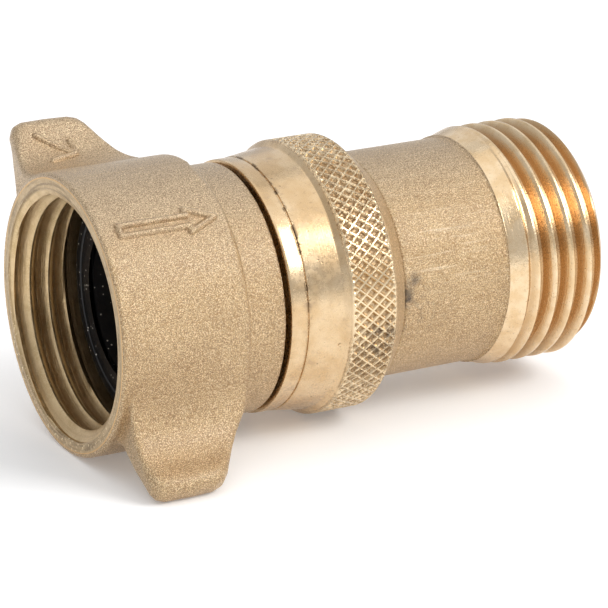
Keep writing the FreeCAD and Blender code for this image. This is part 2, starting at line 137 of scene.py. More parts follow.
def weld(corners, triangles):
    """One corner per place, without the triangles that this collapses."""
    keys = np.round(corners * 1e4).astype(np.int64)
    first, back = np.unique(keys, axis=0, return_index=True, return_inverse=True)[1:]
    triangles = back.reshape(-1)[triangles]
    a, b, c = triangles.T
    return corners[first], triangles[(a != b) & (b != c) & (c != a)]


def join(*shells):
    """Several shells as one set of corners and triangles."""
    starts = np.cumsum([0] + [len(corners) for corners, triangles in shells])
    corners = np.vstack([corners for corners, triangles in shells])
    return corners, np.vstack([triangles + start for (_, triangles), start in zip(shells, starts)])


def grid_triangles(rows, columns, heights):
    """Triangles over a grid of corners; each cell is cut along its more level diagonal."""
    number = np.arange(rows * columns).reshape(rows, columns)
    a, b = number[:-1, :-1].ravel(), number[:-1, 1:].ravel()
    c, d = number[1:, 1:].ravel(), number[1:, :-1].ravel()
    h = heights.ravel()
    level = np.abs(h[a] - h[c]) <= np.abs(h[b] - h[d])
    one = np.where(level[:, None], np.stack([a, b, c], 1), np.stack([a, b, d], 1))
    two = np.where(level[:, None], np.stack([a, c, d], 1), np.stack([b, c, d], 1))
    return np.vstack([one, two])


def turned(along, out):
    """The closed skin of revolution through rows of (along, out), one value per column."""
    rows, columns = along.shape
    turn = (np.arange(columns) % (columns - 1)) * 2 * math.pi / (columns - 1)
    corners = np.stack([along, -out * np.sin(turn), out * np.cos(turn)], -1).reshape(-1, 3)
    return weld(corners, grid_triangles(rows, columns, out))


def corner_rows(profile, columns, steps=4):
    """Rows round a profile of (along, out, rounding) corners, the same at every column.

    A row on each side of a rounded corner keeps the faces beside it flat in shading.
    """
    places = []
    for i, (along, out, rounding) in enumerate(profile):
        here = np.array([along, out])
        if rounding == 0:
            places.append(here)
            continue
        before = np.array(profile[i - 1][:2]) - here
        after = np.array(profile[(i + 1) % len(profile)][:2]) - here
        start = here + before / np.linalg.norm(before) * rounding
        end = here + after / np.linalg.norm(after) * rounding
        hold = rounding * 1.3 + 0.04
        if np.linalg.norm(before) > 2.5 * hold:
            places.append(here + before / np.linalg.norm(before) * hold)
        for t in np.linspace(0, 1, steps + 1):
            places.append((1 - t) ** 2 * start + 2 * t * (1 - t) * here + t * t * end)
        if np.linalg.norm(after) > 2.5 * hold:
            places.append(here + after / np.linalg.norm(after) * hold)
    places = np.array(places)
    return (np.repeat(places[:, :1], columns, 1), np.repeat(places[:, 1:], columns, 1))


def thread_rows(front, rear, groove, crest, depth, columns, shape):
    """Rows that follow a right-hand thread; groove is where it crosses turn 0.

    depth is from crest to root, negative for a male thread. shape(along, out) limits the
    thread, such as where its end is chamfered.
    """
    half_root, half_crest = ROOT_FLAT / 2, (PITCH - CREST_FLAT) / 2
    keys = [(0, 1), (half_root, 1), (half_root + 0.08, 0.92)]
    keys += [(half_root + (half_crest - half_root) * s, 1 - s) for s in (0.3, 0.5, 0.7)]
    keys += [(half_crest - 0.07, 0.08), (half_crest + 0.05, 0), (PITCH / 2, 0)]
    places, depths = np.array(keys).T
    places = np.concatenate([-places[:0:-1], places[:-1]])
    depths = np.concatenate([depths[:0:-1], depths[:-1]])
    first = math.floor((front - groove) / PITCH) - 2
    last = math.ceil((rear - groove) / PITCH) + 1
    shift = np.arange(first, last + 1)[:, None] * PITCH
    row_place = (places[None, :] + shift).ravel() + groove
    row_depth = np.tile(depths, last - first + 1)
    lead = np.arange(columns) * PITCH / (columns - 1)
    along = row_place[:, None] + lead[None, :]
    inside = np.clip(along, front, rear)
    # a clamped row takes the depth that the groove has at the end it is clamped to
    phase = (inside - groove - lead[None, :] + PITCH / 2) % PITCH - PITCH / 2
    out = crest + depth * np.interp(np.abs(phase), *np.array(keys).T)
    out = np.where(inside == along, crest + depth * row_depth[:, None], out)
    return inside, shape(inside, out)


# ---------------------------------------------------------------- the nut's casting

WING_OUTLINE = [
    (1.0, 9.0), (1.05, 17.0), (1.2, 21.5), (1.35, 22.9), (1.8, 23.8), (2.7, 24.2), (5.5, 24.25),
    (8.2, 24.15), (9.3, 23.75), (10.05, 22.9), (10.75, 21.6), (11.6, 19.95), (12.5, 18.5),
    (13.4, 17.3), (14.3, 16.2), (14.55, 15.0), (14.6, 9.0),
]


def outline_distance(along, out, outline):
    """Signed distance from a closed outline, negative inside."""
    nearest = np.full(np.broadcast(along, out).shape, 1e9)
    inside = np.zeros(nearest.shape, bool)
    for (x0, z0), (x1, z1) in zip(outline, outline[1:] + outline[:1]):
        dx, dz = x1 - x0, z1 - z0
        t = np.clip(((along - x0) * dx + (out - z0) * dz) / (dx * dx + dz * dz), 0, 1)
        nearest = np.minimum(nearest, (along - x0 - t * dx) ** 2 + (out - z0 - t * dz) ** 2)
        if dz:
            crossing = (z0 > out) != (z1 > out)
            inside ^= crossing & (along < x0 + (out - z0) * dx / dz)
    nearest = np.sqrt(nearest)
    return np.where(inside, -nearest, nearest)


def blend_min(a, b, width):
    """The lesser of two distances, with a fillet where they meet."""
    h = np.clip(width - np.abs(a - b), 0, None) / width
    return np.minimum(a, b) - h * h * width / 4


def blend_max(a, b, width):
    """The greater of two distances, with a rounded edge where they meet."""
    return -blend_min(-a, -b, width)


def casting_distance(along, y, z):
    """Signed distance from the nut's casting, with the wings along Z."""
    out = np.sqrt(y * y + z * z)
    upper = z > 0
    lean = np.where(upper, 0, math.radians(LOWER_WING_LEAN))
    across = y * np.cos(lean) + z * np.sin(lean)
    span = np.abs(z * np.cos(lean) - y * np.sin(lean))
    half = np.where(upper, *WING_HALF) + 0.25 * smooth_step(span, 20.3, 22.6)
    fillet = np.where(across < 0, 5.5, np.where(upper, *WING_FILLET))
    flank = blend_min(out - BARREL_OUT, np.abs(across) - half, fillet)
    shorter = np.where(upper, *WING_SHORTER) * smooth_step(span, 17.0, 24.0)
    skew = np.where(upper, *WING_SKEW) * smooth_step(span, 16.0, 22.0)
    side = outline_distance(along - skew, span + shorter, WING_OUTLINE)
    wings = blend_max(flank, side, 0.5 + 0.9 * smooth_step(span, 19.0, 22.5))
    barrel = blend_max(out - BARREL_OUT, -along, 0.5)
    barrel = blend_max(barrel, along - BARREL_LENGTH, 1.1)
    neck = blend_max(out - NECK_OUT, along - NUT_REAR, 0.3)
    metal = blend_min(blend_min(barrel, wings, 0.1), neck, 0.5)
    metal = np.maximum(metal, 0.02 - along)
    hollow = np.where(along < 13.2, 14.3, 12.4)
    hole = np.maximum(out - hollow, -(along + 1))
    return np.maximum(metal, -hole)


def net_surface(distance, low, high, step):
    """Corners and quads of a skin over the places where a distance changes sign."""
    axes = [np.arange(a, b + step, step) for a, b in zip(low, high)]
    x, y, z = axes[0][:, None, None], axes[1][None, :, None], axes[2][None, None, :]
    value = distance(x, y, z)
    inside = value < 0
    cells = tuple(n - 1 for n in value.shape)
    total = np.zeros(cells, np.int8)
    offsets = [(i, j, k) for i in (0, 1) for j in (0, 1) for k in (0, 1)]
    for i, j, k in offsets:
        total += inside[i:i + cells[0], j:j + cells[1], k:k + cells[2]]
    mixed = np.argwhere((total > 0) & (total < 8))
    number = np.full(cells, -1, np.int64)
    number[tuple(mixed.T)] = np.arange(len(mixed))
    summed, crossings = np.zeros((len(mixed), 3)), np.zeros(len(mixed))
    for start in offsets:
        for axis in range(3):
            if start[axis]:
                continue
            end = tuple(1 if n == axis else start[n] for n in range(3))
            a = value[tuple((mixed + start).T)]
            b = value[tuple((mixed + end).T)]
            cut = (a < 0) != (b < 0)
            t = np.where(cut, a / np.where(cut, a - b, 1), 0)
            place = np.tile(np.array(start, float), (len(mixed), 1))
            place[:, axis] += t
            summed += place * cut[:, None]
            crossings += cut
    corners = np.array(low) + (mixed + summed / crossings[:, None]) * step
    quads = []
    for axis in range(3):
        other = [n for n in range(3) if n != axis]
        near = [slice(1, -1)] * 3
        near[axis] = slice(0, -1)
        far = list(near)
        far[axis] = slice(1, None)
        change = inside[tuple(near)] != inside[tuple(far)]
        edges = np.argwhere(change)
        edges[:, other[0]] += 1
        edges[:, other[1]] += 1
        ring = []
        for u, v in ((0, 0), (1, 0), (1, 1), (0, 1)):
            cell = edges.copy()
            cell[:, other[0]] -= u
            cell[:, other[1]] -= v
            ring.append(number[tuple(cell.T)])
        quads.append(np.stack(ring, 1))
    return corners, np.vstack(quads)


def settle(distance, corners, rounds=3):
    """Corners moved onto the surface along the distance's slope; also the slope's directions."""
    for _ in range(rounds):
        slope = np.empty_like(corners)
        for axis in range(3):
            ahead, behind = corners.copy(), corners.copy()
            ahead[:, axis] += 0.01
            behind[:, axis] -= 0.01
            slope[:, axis] = (distance(*ahead.T) - distance(*behind.T)) / 0.02
        size = np.maximum((slope ** 2).sum(1), 0.05)
        move = -distance(*corners.T) / size
        corners = corners + slope * np.clip(move, -0.2, 0.2)[:, None]
    return corners, slope / np.linalg.norm(slope, axis=1)[:, None]


def face(corners, triangles, direction):
    """The triangles, turned to face along the directions given for their corners."""
    p, q, r = (corners[triangles[:, n]] for n in range(3))
    facing = (np.cross(q - p, r - p) * direction[triangles].mean(1)).sum(1)
    triangles[facing < 0] = triangles[facing < 0][:, ::-1]
    return triangles


def cut_quads(corners, quads, direction):
    """Triangles that face the way the surface does."""
    a, b, c, d = (corners[quads[:, n]] for n in range(4))
    short = ((a - c) ** 2).sum(1) <= ((b - d) ** 2).sum(1)
    one = np.where(short[:, None], quads[:, [0, 1, 2]], quads[:, [0, 1, 3]])
    two = np.where(short[:, None], quads[:, [0, 2, 3]], quads[:, [1, 2, 3]])
    return face(corners, np.vstack([one, two]), direction)


def raised_line(lines, half_width, u, v):
    """A rounded ridge along line segments: 1 on them, falling to 0 at half_width."""
    nearest = np.full(u.shape, 1e9)
    for (u0, v0), (u1, v1) in lines:
        du, dv = u1 - u0, v1 - v0
        t = np.clip(((u - u0) * du + (v - v0) * dv) / (du * du + dv * dv), 0, 1)
        nearest = np.minimum(nearest, np.hypot(u - u0 - t * du, v - v0 - t * dv))
    return np.clip(1 - (nearest / half_width) ** 2, 0, 1)


def relief(distance, places, raised, height):
    """A patch just under the casting's skin whose marked parts stand proud of it."""
    rows, columns = raised.shape
    sunk, buried = 0.12, 0.6
    top, direction = settle(distance, places.reshape(-1, 3), 5)
    lift = (raised.ravel() * (height + sunk) - sunk)[:, None]
    upper = (top + direction * lift).reshape(rows, columns, 3)
    lower = (top - direction * buried).reshape(rows, columns, 3)
    upper[0], upper[-1], upper[:, 0], upper[:, -1] = lower[0], lower[-1], lower[:, 0], lower[:, -1]
    corners = upper.reshape(-1, 3)
    return corners, face(corners, grid_triangles(rows, columns, raised), direction)


def arrow_lines(start, end, half, head, barb):
    """Outline of an arrow along u from start to end."""
    neck = end - head
    path = [(start, -half), (neck, -half), (neck - 0.1, -barb), (end, 0), (neck - 0.1, barb)]
    path += [(neck, half), (start, half), (start, -half)]
    return list(zip(path, path[1:]))


def barrel_arrow():
    """The outline arrow on the barrel, between the wings."""
    step, half_width, height = 0.085, 0.468, 0.42
    u, v = np.meshgrid(np.arange(1.7, 14.0, step), np.arange(-2.1, 2.1, step), indexing="ij")
    lines = arrow_lines(2.3, 13.1, 0.62, 3.0, 1.35)
    raised = raised_line(lines, half_width, u, v)
    angle = math.radians(-2.0) + v / BARREL_OUT
    places = np.stack([u, -BARREL_OUT * np.cos(angle), -BARREL_OUT * np.sin(angle)], -1)
    return relief(casting_distance, places, raised, height)


def wing_arrow():
    """The smaller arrow on the upper wing's flank."""
    step, half_width, height = 0.08, 0.455, 0.36
    start, end = np.array([4.3, 21.4]), np.array([8.0, 18.4])
    ahead = (end - start) / np.linalg.norm(end - start)
    across = np.array([-ahead[1], ahead[0]])
    u, v = np.meshgrid(np.arange(-0.6, 5.4, step), np.arange(-3.0, 2.0, step), indexing="ij")
    lines = [((0.0, 0.0), (4.6, 0.0)), ((4.75, 0.1), (3.6, 1.35)), ((4.75, -0.1), (2.9, -2.4))]
    raised = raised_line(lines, half_width, u, v)
    flat = start + u[..., None] * ahead + v[..., None] * across
    places = np.stack([flat[..., 0], np.full(u.shape, -1.4), flat[..., 1]], -1)
    return relief(casting_distance, places, raised, height)


def nut_casting(finish):
    """The nut's cast outside: barrel, neck and wings with their two raised arrows."""
    low, high, step = (-0.5, -16.2, -24.9), (20.2, 16.2, 24.9), 0.23
    corners, quads = net_surface(casting_distance, low, high, step)
    corners, direction = settle(casting_distance, corners)
    shell = corners, cut_quads(corners, quads, direction)
    corners, triangles = join(shell, barrel_arrow(), wing_arrow())
    angle = math.radians(WING_TURN)
    y, z = corners[:, 1].copy(), corners[:, 2].copy()
    corners[:, 1] = y * math.cos(angle) - z * math.sin(angle)
    corners[:, 2] = y * math.sin(angle) + z * math.cos(angle)
    piece = add_piece("nut_casting", corners, triangles, "nut", "cast_brass", finish, 40)
    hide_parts("wing_nut")


def nut_lining(finish):
    """Machined surfaces of the nut: rim face, female thread, relief, shoulder and neck bore."""
    columns, depth = 361, 1.15
    shoulder, bore = 12.4, 10.38

    def limits(along, out):
        mouth = np.maximum(out, 13.6 - np.maximum(along, 0) * 1.6)
        kept = 1 - smooth_step(along, RELIEF_FRONT - 0.5, RELIEF_FRONT - 0.1)
        faded = FEMALE_CREST + (mouth - FEMALE_CREST) * kept
        return np.maximum(faded, RELIEF_OUT - np.maximum(RELIEF_FRONT - along, 0) * 1.2)

    groove = -1.03 - WING_TURN * PITCH / 360
    thread = thread_rows(0.0, RELIEF_FRONT, groove, FEMALE_CREST, depth, columns, limits)
    inner = corner_rows([
        (RELIEF_FRONT, RELIEF_OUT, 0.0), (shoulder, RELIEF_OUT, 0.15), (shoulder, bore, 0.15),
        (NUT_REAR, bore, 0.2),
        (NUT_REAR, 12.7, 0.0), (13.9, 12.7, 0.0), (12.9, 14.5, 0.0), (0.4, 14.5, 0.0),
        (0.06, 14.74, 0.0), (0.0, 14.66, 0.0), (0.0, 13.75, 0.0),
    ], columns)
    along = np.vstack([inner[0][-1:], thread[0], inner[0]])
    out = np.vstack([inner[1][-1:], thread[1], inner[1]])
    add_piece("nut_lining", *turned(along, out), "nut", "cast_brass", finish)


# ---------------------------------------------------------------- washer, ring and outlet body

def washer(finish):
    """Rubber washer with bevelled edges and a shallow ring moulded in its face."""
    hole, edge, ring = 8.6, 13.1, WASHER_FRONT + 0.14
    rows = corner_rows([
        (WASHER_FRONT, hole, 0.25), (WASHER_REAR, hole, 0.25), (WASHER_REAR, edge - 0.8, 0.1),
        (WASHER_REAR - 0.8, edge, 0.1), (WASHER_FRONT + 0.8, edge, 0.1),
        (WASHER_FRONT, edge - 0.8, 0.3), (WASHER_FRONT, 11.3, 0.12), (ring, 11.15, 0.05),
        (ring, 10.3, 0.05), (WASHER_FRONT, 10.15, 0.12), (WASHER_FRONT, hole, 0.25),
    ], 241)
    piece = add_piece("washer_moulding", *turned(*rows), "nut", "black_rubber", finish)
    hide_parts("hose_washer")


def knurled_ring(finish):
    """Housing whose rear band carries crossed knurling: raised lines round sunk diamonds."""
    cells = 12
    columns = KNURL_COUNT * cells + 1
    bore, mouth, band = 12.2, 10.32, 13.8
    shoulder, flare = HOUSING_FRONT + 5.0, HOUSING_FRONT + 6.0
    front = corner_rows([
        (HOUSING_REAR, bore, 0.0), (shoulder, bore, 0.0), (shoulder, mouth, 0.0),
        (HOUSING_FRONT, mouth, 0.2), (HOUSING_FRONT, band, 0.25), (SEAM - 0.11, band, 0.04),
        (SEAM - 0.07, band - 0.11, 0.0), (SEAM + 0.07, band - 0.11, 0.0),
        (SEAM + 0.11, band + 0.04, 0.04), (flare, 14.36, 0.07), (flare + 0.08, 14.42, 0.0),
        (flare + 0.5, KNURL_OUT - 0.22, 0.1), (KNURL_FRONT - 0.1, KNURL_OUT - 0.1, 0.0),
    ], columns, 2)
    rear = corner_rows([
        (KNURL_REAR + 0.1, KNURL_OUT - 0.1, 0.06), (HOUSING_REAR - 0.12, bore + 0.5, 0.08),
        (HOUSING_REAR, bore + 0.2, 0.0), (HOUSING_REAR, bore, 0.0),
    ], columns, 2)
    place = np.arange(KNURL_FRONT, KNURL_REAR + 1e-6, KNURL_PITCH / cells)
    along = np.repeat(place[:, None], columns, 1)
    around = np.arange(columns) / cells
    steps = np.arange(len(place)) / cells
    one = np.abs((around[None, :] + steps[:, None] + 0.5) % 1 - 0.5)
    two = np.abs((around[None, :] - steps[:, None] + 0.5) % 1 - 0.5)
    pit = smooth_step(np.minimum(one, two), 0.085, 0.30)
    ends = smooth_step(along, KNURL_FRONT, KNURL_FRONT + 0.3)
    ends = ends * (1 - smooth_step(along, KNURL_REAR - 0.25, KNURL_REAR))
    out = KNURL_OUT - 0.02 - 0.34 * pit * ends
    along = np.vstack([front[0], along, rear[0]])
    out = np.vstack([front[1], out, rear[1]])
    piece = add_piece("knurled_ring", *turned(along, out), "body", "polished_brass", finish, 45)
    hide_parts("knurled_housing")


def body_casting(finish):
    """Outlet body: spigot, cast barrel, collar and male thread, with its bores."""
    columns, depth = 361, 1.25
    spigot, barrel, bore, chamber, outlet = 12.18, 12.48, 9.77, 9.4, 8.6
    ring_out, ring_front, ring_rear = 10.88, 28.2, 29.8
    bore_rear, chamber_rear = 34.7, 49.3

    def limits(along, out):
        cut = smooth_step(along, COLLAR_FRONT + 1.9, COLLAR_FRONT + 3.5)
        faded = CREST_OUT - (CREST_OUT - out) * cut
        cone = CREST_OUT - 0.3 * np.clip(COLLAR_FRONT + 2.8 - along, 0, 3)
        chamfer = CREST_OUT - np.maximum(along - BODY_REAR + 1.0, 0) * 1.1
        return np.minimum(np.minimum(faded, cone), chamfer)

    front = corner_rows([
        (BODY_FRONT, bore, 0.0), (BODY_FRONT, spigot, 0.15), (ring_front, spigot, 0.0),
        (ring_front, ring_out, 0.0), (ring_rear, ring_out, 0.0), (ring_rear, spigot, 0.0),
        (HOUSING_REAR - 0.1, spigot, 0.0), (HOUSING_REAR + 0.25, barrel, 0.1),
        (COLLAR_FRONT, barrel, 0.3), (COLLAR_FRONT + 0.05, CREST_OUT - 0.84, 0.08),
        (COLLAR_FRONT + 1.2, CREST_OUT - 0.5, 0.0), (COLLAR_FRONT + 1.75, CREST_OUT - 0.32, 0.0),
    ], columns)
    groove = COLLAR_FRONT + 2.95 + PITCH / 2
    thread = thread_rows(COLLAR_FRONT + 1.8, BODY_REAR, groove, CREST_OUT, -depth, columns, limits)
    rear = corner_rows([
        (BODY_REAR, 11.9, 0.0), (BODY_REAR, outlet, 0.3), (chamber_rear, outlet, 0.0),
        (chamber_rear, chamber, 0.0), (bore_rear, chamber, 0.0), (bore_rear, bore, 0.0),
        (BODY_FRONT, bore, 0.0),
    ], columns)
    along = np.vstack([front[0], thread[0], rear[0]])
    out = np.vstack([front[1], thread[1], rear[1]])
    piece = add_piece("body_casting", *turned(along, out), "body", "cast_brass", finish)
    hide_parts("outlet_body")


def coil_spring(finish):
    """Compression spring between its seat and the piston's shim."""
    low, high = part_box("spring")
    front, rear = reach("spring")
    wire, turns, stations, sides = 0.75, 3.75, 181, 25
    mean = high.z / MM - wire
    t = np.linspace(0, 1, stations)[:, None]
    around = np.linspace(0, 2 * math.pi, sides)[None, :]
    angle = math.pi / 2 + 2 * math.pi * turns * t
    out = mean + wire * np.cos(around)
    along = front + wire + (rear - front - 2 * wire) * t + wire * np.sin(around)
    corners = np.stack(np.broadcast_arrays(along, -out * np.sin(angle), out * np.cos(angle)), -1)
    tips = corners[[0, -1]].mean(1, keepdims=True).repeat(sides, 1)
    corners = np.concatenate([tips[:1], corners, tips[1:]])
    triangles = grid_triangles(stations + 2, sides, np.zeros((stations + 2, sides)))
    corners, triangles = weld(corners.reshape(-1, 3), triangles)
    piece = add_piece("coil_spring", corners, triangles[:, ::-1], None, "stainless", finish, 45)
    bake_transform(piece)
    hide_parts("spring")


# ---------------------------------------------------------------- finishes

class Value:
    """A number, vector or colour inside a finish; arithmetic on it adds the nodes."""

    def __init__(self, finish, socket):
        self.finish = finish
        self.socket = socket

    def __add__(self, other):
        return self.finish.math("ADD", self, other)

    def __sub__(self, other):
        return self.finish.math("SUBTRACT", self, other)

    def __mul__(self, other):
        return self.finish.math("MULTIPLY", self, other)

    def __rsub__(self, other):
        return self.finish.math("SUBTRACT", other, self)

    def __pow__(self, other):
        return self.finish.math("POWER", self, other)

    __radd__ = __add__
    __rmul__ = __mul__

    def step(self, low, high, bottom=0.0, top=1.0):
        """Bottom below low, top above high, smooth between."""
        settings = {"interpolation_type": "SMOOTHSTEP"}
        return self.finish.node("ShaderNodeMapRange", settings, [self, low, high, bottom, top])

    def between(self, low, high, soft):
        """1 between low and high."""
        return self.step(low - soft, low + soft) * self.step(high - soft, high + soft, 1.0, 0.0)


class Finish:
    """A procedural material in the piece's own millimetres."""

    def __init__(self, name, metallic=1.0, coat=0.0, coat_roughness=0.3):
        self.material = bpy.data.materials.new(name)
        self.material.use_nodes = True
        self.tree = self.material.node_tree
        self.shader = self.tree.nodes["Principled BSDF"]
        self.shader.inputs["Metallic"].default_value = metallic
        self.shader.inputs["Coat Weight"].default_value = coat
        self.shader.inputs["Coat Roughness"].default_value = coat_roughness
        place = self.node("ShaderNodeTexCoord", {}, [], "Object")
        self.here = self.node("ShaderNodeVectorMath", {"operation": "SCALE"}, {0: place, 3: 1 / MM})
        self.along = self.node("ShaderNodeSeparateXYZ", {}, [self.here], 0)
        self.y = self.node("ShaderNodeSeparateXYZ", {}, [self.here], 1)
        self.z = self.node("ShaderNodeSeparateXYZ", {}, [self.here], 2)
        self.out = (self.y * self.y + self.z * self.z) ** 0.5
        self.turn = self.math("ARCTAN2", 0 - self.y, self.z)

    def node(self, kind, settings, inputs, output=0):
        """One node: its settings, then its inputs by order or by key."""
        made = self.tree.nodes.new(kind)
        for key, value in settings.items():
            setattr(made, key, value)
        for key, value in inputs.items() if isinstance(inputs, dict) else enumerate(inputs):
            if isinstance(value, Value):
                self.tree.links.new(value.socket, made.inputs[key])
            else:
                made.inputs[key].default_value = value
        return Value(self, made.outputs[output])

    def math(self, operation, *inputs):
        return self.node("ShaderNodeMath", {"operation": operation}, inputs)

    def vector(self, x, y, z):
        return self.node("ShaderNodeCombineXYZ", {}, [x, y, z])

    def noise(self, scale, detail=2.0, roughness=0.5, where=None):
        """Cloudy noise from about 0.2 to 0.8."""
        inputs = {"Vector": where or self.here, "Scale": scale, "Detail": detail, "Roughness": roughness}
        return self.node("ShaderNodeTexNoise", {}, inputs)

    def cells(self, scale, where=None):
        """Distance to the nearest of scattered points, in cells."""
        return self.node("ShaderNodeTexVoronoi", {}, {"Vector": where or self.here, "Scale": scale})

    def near(self, place, size, soft):
        """1 inside a ball round a place, fading over soft."""
        settings = {"operation": "DISTANCE"}
        apart = self.node("ShaderNodeVectorMath", settings, {0: self.here, 1: place}, "Value")
        return apart.step(size - soft, size + soft, 1.0, 0.0)

    def mix(self, factor, first, second):
        """From one colour to another."""
        first, second = (c if isinstance(c, Value) else (*c, 1.0) for c in (first, second))
        return self.node("ShaderNodeMix", {"data_type": "RGBA"}, {0: factor, 6: first, 7: second}, 2)

    def blend(self, factor, first, second):
        """From one number to another."""
        return self.node("ShaderNodeMix", {"data_type": "FLOAT"}, {0: factor, 2: first, 3: second}, 0)

    def done(self, colour, roughness, height=None):
        """Colour, roughness and bump height in millimetres, joined to the shader."""
        for key, value in (("Base Color", colour), ("Roughness", roughness)):
            if isinstance(value, Value):
                self.tree.links.new(value.socket, self.shader.inputs[key])
            else:
                self.shader.inputs[key].default_value = (*value, 1.0) if key == "Base Color" else value
        if height is not None:
            bump = self.node("ShaderNodeBump", {}, {"Distance": MM, "Height": height})
            self.tree.links.new(bump.socket, self.shader.inputs["Normal"])
        return self.material


def sand_grain(f):
    """Height of a sand-cast skin: fine grain on soft unevenness."""
    fine = f.noise(8.5, 3.0, 0.66)
    pits = f.cells(6.0).step(0.10, 0.42)
    return fine * 0.105 + pits * 0.025 + f.noise(0.45, 2.0) * 0.10


def cast_colour(f):
    """Tan brass, darker and browner underneath as painted shade and lighter and greyer on top as painted
    light from above, with painted glints and dark grains.
    """
    tone = f.noise(0.35, 3.0, 0.6).step(0.32, 0.68)
    colour = f.mix(tone, (0.475, 0.305, 0.152), (0.555, 0.37, 0.19))
    # painted shade: darker and browner towards the bottom
    colour = f.mix(f.z.step(-13.0, -2.0, 0.35, 0.0), colour, (0.38, 0.25, 0.13))
    # painted light from above: lighter and greyer towards the top
    colour = f.mix(f.z.step(8.0, 13.0) * 0.5, colour, (0.57, 0.45, 0.325))
    # painted glints: scattered specks of light brass
    speck = f.noise(8.5, 2.0, 0.7).step(0.48, 0.58)
    colour = f.mix(speck * 0.9, colour, (0.90, 0.72, 0.46))
    dark = f.noise(8.0, 2.0, 0.7, f.vector(f.along + 31.0, f.y, f.z)).step(0.48, 0.60)
    return f.mix(dark * 0.75, colour, (0.24, 0.14, 0.07))


def cast_brass():
    """Rough sand-cast skin of the nut."""
    f = Finish("cast_brass", 1.0, 0.3, 0.34)
    grit = f.noise(6.0, 2.0, 0.6)
    return f.done(cast_colour(f), grit.step(0.3, 0.7, 0.44, 0.28), sand_grain(f))


def turned_marks(f, fineness, height):
    """Height of fine rings left by turning."""
    rings = f.noise(1.0, 2.0, 0.7, f.vector(f.along * fineness, f.out * fineness, f.turn * 1.2))
    return rings * height


def nut_machined():
    """Turned brass of the nut's inside: grooves darkened as painted shade, brighter crests and rim face,
    and a painted reflection of the floor sparkling low on the rim face.
    """
    f = Finish("nut_machined", 1.0, 0.2)
    sunk = f.out.step(FEMALE_CREST + 0.1, FEMALE_CREST + 0.95) * f.along.step(0.5, 0.9)
    tone = f.noise(0.5, 3.0, 0.6).step(0.35, 0.65)
    colour = f.mix(tone, (0.60, 0.43, 0.22), (0.74, 0.55, 0.31))
    colour = f.mix(f.noise(5.0, 2.0, 0.7).step(0.50, 0.66) * 0.6, colour, (0.80, 0.64, 0.38))
    # painted shade: the thread's grooves and the relief behind the thread darkened
    colour = f.mix(sunk * 0.5, colour, (0.38, 0.24, 0.11))
    face = f.along.step(0.05, 0.25, 1.0, 0.0)
    colour = f.mix(face * 0.55, colour, (0.36, 0.245, 0.13))
    rings = f.noise(1.0, 3.0, 0.7, f.vector(f.along, f.out * 3.0, f.turn * 2.5)).step(0.46, 0.60)
    colour = f.mix(rings * face * 0.7, colour, (0.22, 0.145, 0.07))
    # painted reflection of the pale floor: bright sparkle on the rim face, strongest on its lower side
    painted_floor_glint = f.noise(2.6, 3.0, 0.75).step(0.56, 0.64) * face * f.z.step(-9.0, -2.0, 1.0, 0.25)
    colour = f.mix(painted_floor_glint, colour, (0.92, 0.76, 0.48))
    edge = f.out.step(14.45, 14.65) * f.along.step(0.0, 0.2, 1.0, 0.0)
    colour = f.mix(edge, colour, (0.72, 0.46, 0.20))
    height = turned_marks(f, 7.0, 0.035) + f.noise(3.5, 3.0, 0.6) * 0.03
    return f.done(colour, f.noise(2.5).step(0.3, 0.7, 0.30, 0.44), height)


